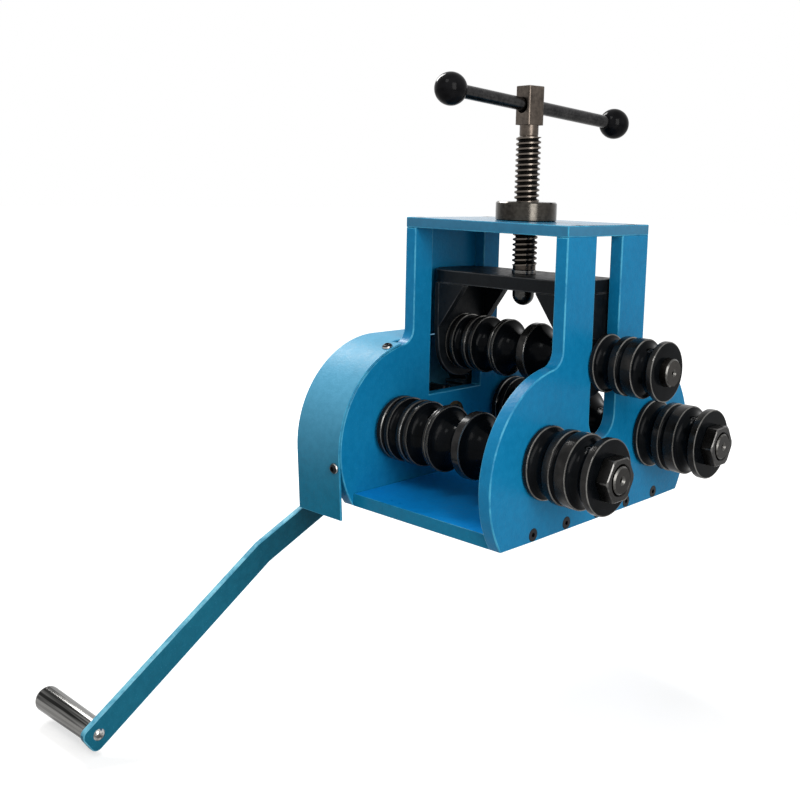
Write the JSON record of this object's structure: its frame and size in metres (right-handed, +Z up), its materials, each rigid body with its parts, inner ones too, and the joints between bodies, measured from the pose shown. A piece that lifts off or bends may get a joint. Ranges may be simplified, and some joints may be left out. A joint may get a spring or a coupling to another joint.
{
  "type": "manual pipe bender",
  "caption": "Hand-cranked roll bender for pipe: grooved driven lower rollers, a screw-fed upper roller, a side gear cover and a long crank.",
  "frame": {"origin": "middle of the base plate's underside", "axes": "+X along the shafts toward the outboard rollers, +Y to the rear, +Z up"},
  "size_m": [0.437, 0.5391, 0.5946],
  "materials": {
    "blue_paint": "satin blue enamel",
    "black_paint": "satin black enamel",
    "black_oxide": "turned and blackened",
    "turned_steel": "turned",
    "screw_steel": "oiled dark steel",
    "dark_screws": "blackened screws",
    "bronze": "sintered bronze",
    "polished_steel": "polished"
  },
  "bodies": {
    "frame": {"right_side_plate": "blue_paint", "left_side_plate": "blue_paint", "base_plate": "blue_paint", "top_plate": "blue_paint", "base_screws_right": "dark_screws", "base_screws_left": "dark_screws", "top_plate_screws": "dark_screws", "screw_nut": "screw_steel", "slot_cover": "blue_paint", "gear_cover": "blue_paint", "gear_cover_screws": "dark_screws", "bush_front_left": "bronze", "bush_front_right": "bronze", "bush_rear_left": "bronze", "bush_rear_right": "bronze", "crank_bush_inner": "bronze", "crank_bush_outer": "bronze"},
    "carriage": {"carriage_plate": "black_paint", "carriage_end_left": "black_paint", "carriage_end_right": "black_paint", "gusset_front_left": "black_paint", "gusset_front_right": "black_paint", "gusset_rear_left": "black_paint", "gusset_rear_right": "black_paint", "upper_bush_left": "bronze", "upper_bush_right": "bronze"},
    "feed_screw": {"lead_screw": "screw_steel", "thrust_ring": "screw_steel", "retaining_washer": "screw_steel", "retaining_nut": "screw_steel"},
    "cross_bar": {"t_bar": "screw_steel", "knob_near": "screw_steel", "knob_far": "screw_steel"},
    "front_axle": {"front_shaft": "turned_steel", "front_inner_roller_a": "black_oxide", "front_inner_roller_b": "black_oxide", "front_outer_roller": "black_oxide", "front_nut": "turned_steel", "front_gear": "turned_steel", "front_gear_nut": "turned_steel", "front_grub_screws": "dark_screws"},
    "rear_axle": {"rear_shaft": "turned_steel", "rear_inner_roller_a": "black_oxide", "rear_inner_roller_b": "black_oxide", "rear_outer_roller": "black_oxide", "rear_nut": "turned_steel", "rear_gear": "turned_steel", "rear_gear_nut": "turned_steel", "rear_grub_screws": "dark_screws"},
    "upper_axle": {"upper_shaft": "turned_steel", "upper_inner_roller_a": "black_oxide", "upper_inner_roller_b": "black_oxide", "upper_outer_roller": "black_oxide", "upper_grub_screws": "dark_screws"},
    "crank": {"crank_shaft": "turned_steel", "crank_arm": "blue_paint", "crank_nut": "turned_steel", "grip_bolt": "polished_steel"},
    "grip": {"grip": "polished_steel"}
  },
  "joints": [
    {"name": "carriage_slide", "type": "slide", "parent": "frame", "child": "carriage", "axis": [0, 0, 1], "range_m": [-0.045, 0.03]},
    {"name": "screw_turn", "type": "hinge", "parent": "carriage", "child": "feed_screw", "pos_m": [0, 0, 0.3], "axis": [0, 0, 1], "range_deg": [-3240, 2160]},
    {"name": "bar_slide", "type": "slide", "parent": "feed_screw", "child": "cross_bar", "axis": [-0.1866, -0.978, 0.0931], "range_m": [-0.066, 0.085]},
    {"name": "front_roller_spin", "type": "hinge", "parent": "frame", "child": "front_axle", "pos_m": [0, -0.085, 0.0687], "axis": [1, 0, 0], "continuous": true},
    {"name": "rear_roller_spin", "type": "hinge", "parent": "frame", "child": "rear_axle", "pos_m": [0, 0.085, 0.0687], "axis": [1, 0, 0], "continuous": true},
    {"name": "crank_turn", "type": "hinge", "parent": "frame", "child": "crank", "pos_m": [-0.12, 0, 0.0687], "axis": [1, 0, 0], "continuous": true},
    {"name": "upper_roller_spin", "type": "hinge", "parent": "carriage", "child": "upper_axle", "pos_m": [0, 0, 0.147], "axis": [1, 0, 0], "continuous": true},
    {"name": "grip_spin", "type": "hinge", "parent": "crank", "child": "grip", "pos_m": [-0.215, -0.36186, -0.1763], "axis": [1, 0, 0], "continuous": true}
  ],
  "couplings": [
    {"joint": "carriage_slide", "follows": "screw_turn", "m_per_rad": 0.00079577},
    {"joint": "rear_roller_spin", "follows": "front_roller_spin", "ratio": 1},
    {"joint": "crank_turn", "follows": "front_roller_spin", "ratio": -2.4}
  ]
}
